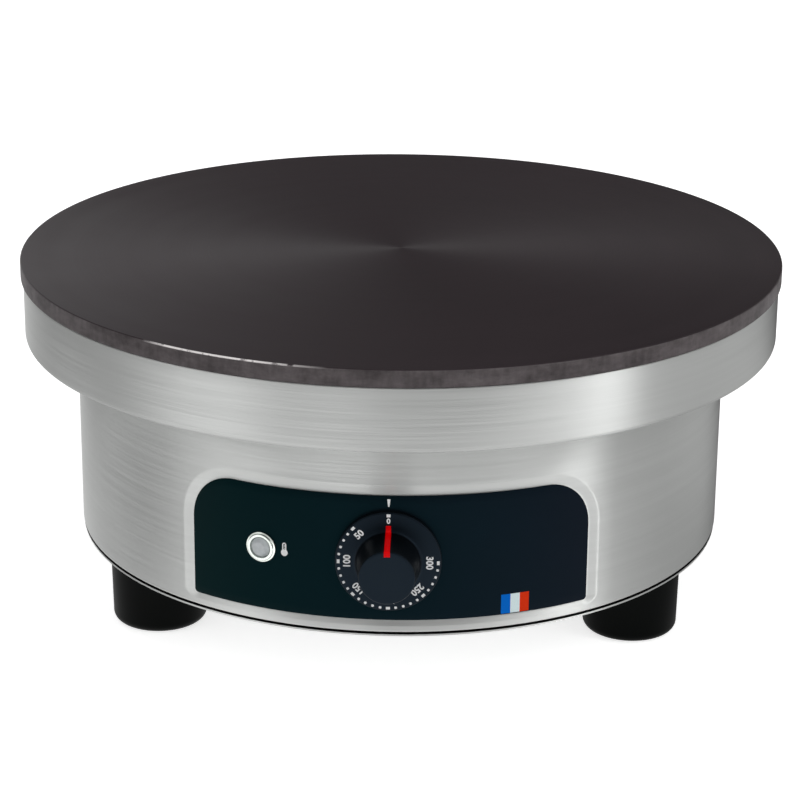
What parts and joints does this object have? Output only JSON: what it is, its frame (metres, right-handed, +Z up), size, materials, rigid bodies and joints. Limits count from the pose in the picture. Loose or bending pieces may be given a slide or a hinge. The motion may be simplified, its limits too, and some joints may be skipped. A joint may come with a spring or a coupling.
{
  "type": "electric crepe maker",
  "caption": "Round cast crepe plate on a stainless collar and drum housing, with a wrapped front panel, a dial thermostat and three feet.",
  "frame": {"origin": "on the worktop, under the centre of the round plate", "axes": "+Z up; the control panel and dial face -Y; +X to the right as seen from the front"},
  "size_m": [0.3999, 0.4, 0.1832],
  "materials": {
    "cast_plate": "machined",
    "insulation": "matt",
    "aluminised_sheet": "satin",
    "stainless": "brushed",
    "zinc_sheet": "galvanised",
    "zinc_plated": "satin",
    "element_sheath": "oxidised",
    "panel_film": "satin gloss",
    "foot_plastic": "fine satin",
    "knob_plastic": "satin",
    "pointer_red": "satin",
    "white_ceramic": "matt",
    "copper": "drawn",
    "lamp_chrome": "polished",
    "lamp_clear": "clear",
    "lamp_body": "matt",
    "brass": "plain",
    "gland_plastic": "satin",
    "gland_rubber": "matt",
    "wire_brown": "satin",
    "wire_blue": "satin",
    "wire_black": "satin",
    "wire_green": "satin"
  },
  "bodies": {
    "root": {"cooking_plate": "cast_plate", "plate_studs": "zinc_plated", "plate_spacers": "zinc_plated", "plate_nuts": "zinc_plated", "plate_washers": "zinc_plated", "outer_heating_element": "element_sheath", "inner_heating_element": "element_sheath", "element_clamps": "zinc_plated", "clamp_studs": "zinc_plated", "clamp_nuts": "zinc_plated", "link_straps": "brass", "link_nuts": "zinc_plated", "insulation_board": "insulation", "reflector_pan": "aluminised_sheet", "upper_collar": "stainless", "housing_shell": "stainless", "base_plate": "stainless", "base_screws": "zinc_plated", "control_panel": "panel_film", "foot_front_left": "foot_plastic", "foot_front_right": "foot_plastic", "foot_rear": "foot_plastic", "foot_bolts": "zinc_plated", "foot_washers": "zinc_plated", "foot_nuts": "zinc_plated", "thermostat_body": "white_ceramic", "thermostat_bracket": "zinc_sheet", "thermostat_screws": "zinc_plated", "bracket_screws": "zinc_plated", "sensor_bulb": "copper", "bulb_clamp": "zinc_plated", "capillary_tube": "copper", "lamp_bezel": "lamp_chrome", "lamp_lens": "lamp_clear", "lamp_holder": "lamp_body", "lamp_clip": "zinc_plated", "terminal_block": "white_ceramic", "terminal_screws": "brass", "earth_stud": "brass", "gland_body": "gland_plastic", "gland_seal": "gland_rubber", "gland_cap": "gland_plastic", "gland_locknut": "gland_plastic", "live_wire": "wire_brown", "neutral_wire": "wire_blue", "element_wire": "wire_black", "earth_wire": "wire_green"},
    "knob": {"control_knob": "knob_plastic", "knob_pointer": "pointer_red", "knob_spring_ring": "zinc_plated", "thermostat_spindle": "zinc_plated"}
  },
  "joints": [
    {"name": "thermostat_turn", "type": "hinge", "parent": "root", "child": "knob", "pos_m": [0, -0.172, 0.0766], "axis": [0, 1, 0], "range_deg": [0, 270]}
  ]
}
